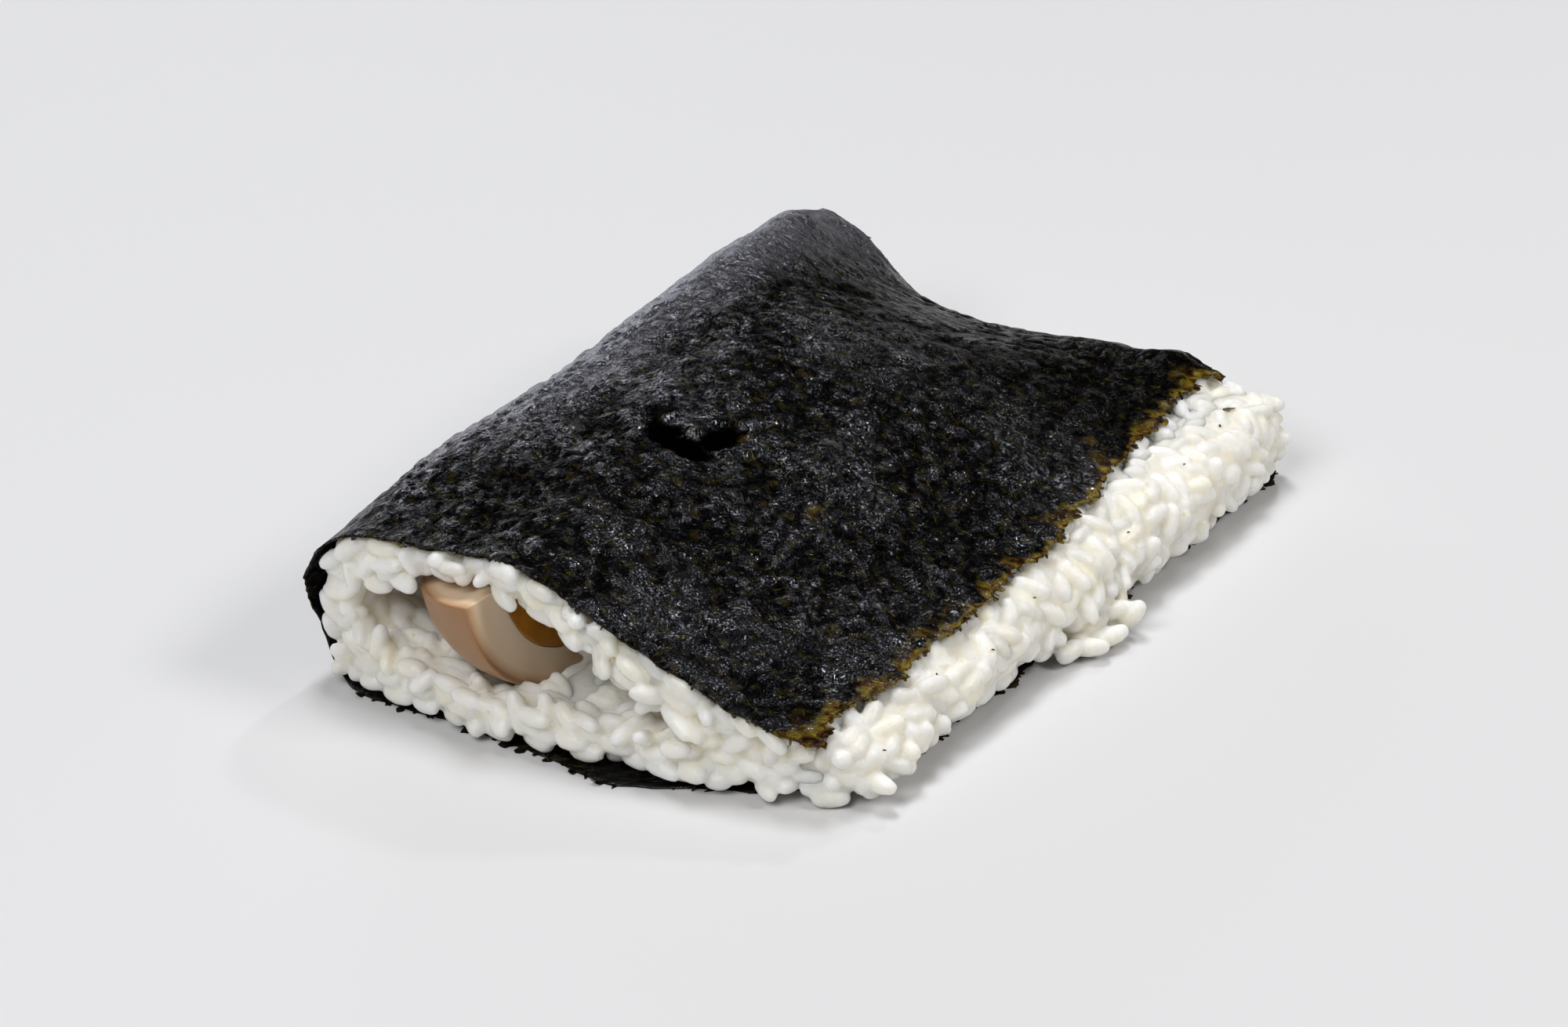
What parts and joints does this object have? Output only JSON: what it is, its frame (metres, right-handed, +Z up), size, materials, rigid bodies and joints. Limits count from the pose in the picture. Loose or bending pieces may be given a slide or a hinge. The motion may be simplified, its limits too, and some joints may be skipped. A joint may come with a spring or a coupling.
{
  "type": "folded onigiri rice ball",
  "caption": "Flat folded onigiri: a seaweed sheet folded over a bed of rice with a soy-marinated egg quarter in its open mouth",
  "frame": {"origin": "on the surface that it rests on, under the middle of the whole", "axes": "+Z up, +Y along the fold from the open mouth to the back, +X from the fold to the pressed side where the rice shows"},
  "size_m": [0.1146, 0.1562, 0.0428],
  "materials": {
    "nori": "near-black damp seaweed, satin, with a fine fibrous relief and olive edges",
    "rice": "moist translucent white cooked rice",
    "egg_white": "smooth tan to brown soy-stained boiled egg white",
    "egg_yolk": "soft amber yolk"
  },
  "bodies": {
    "root": {"nori": "nori", "rice": "rice", "egg_white": "egg_white", "egg_yolk": "egg_yolk"}
  },
  "joints": []
}
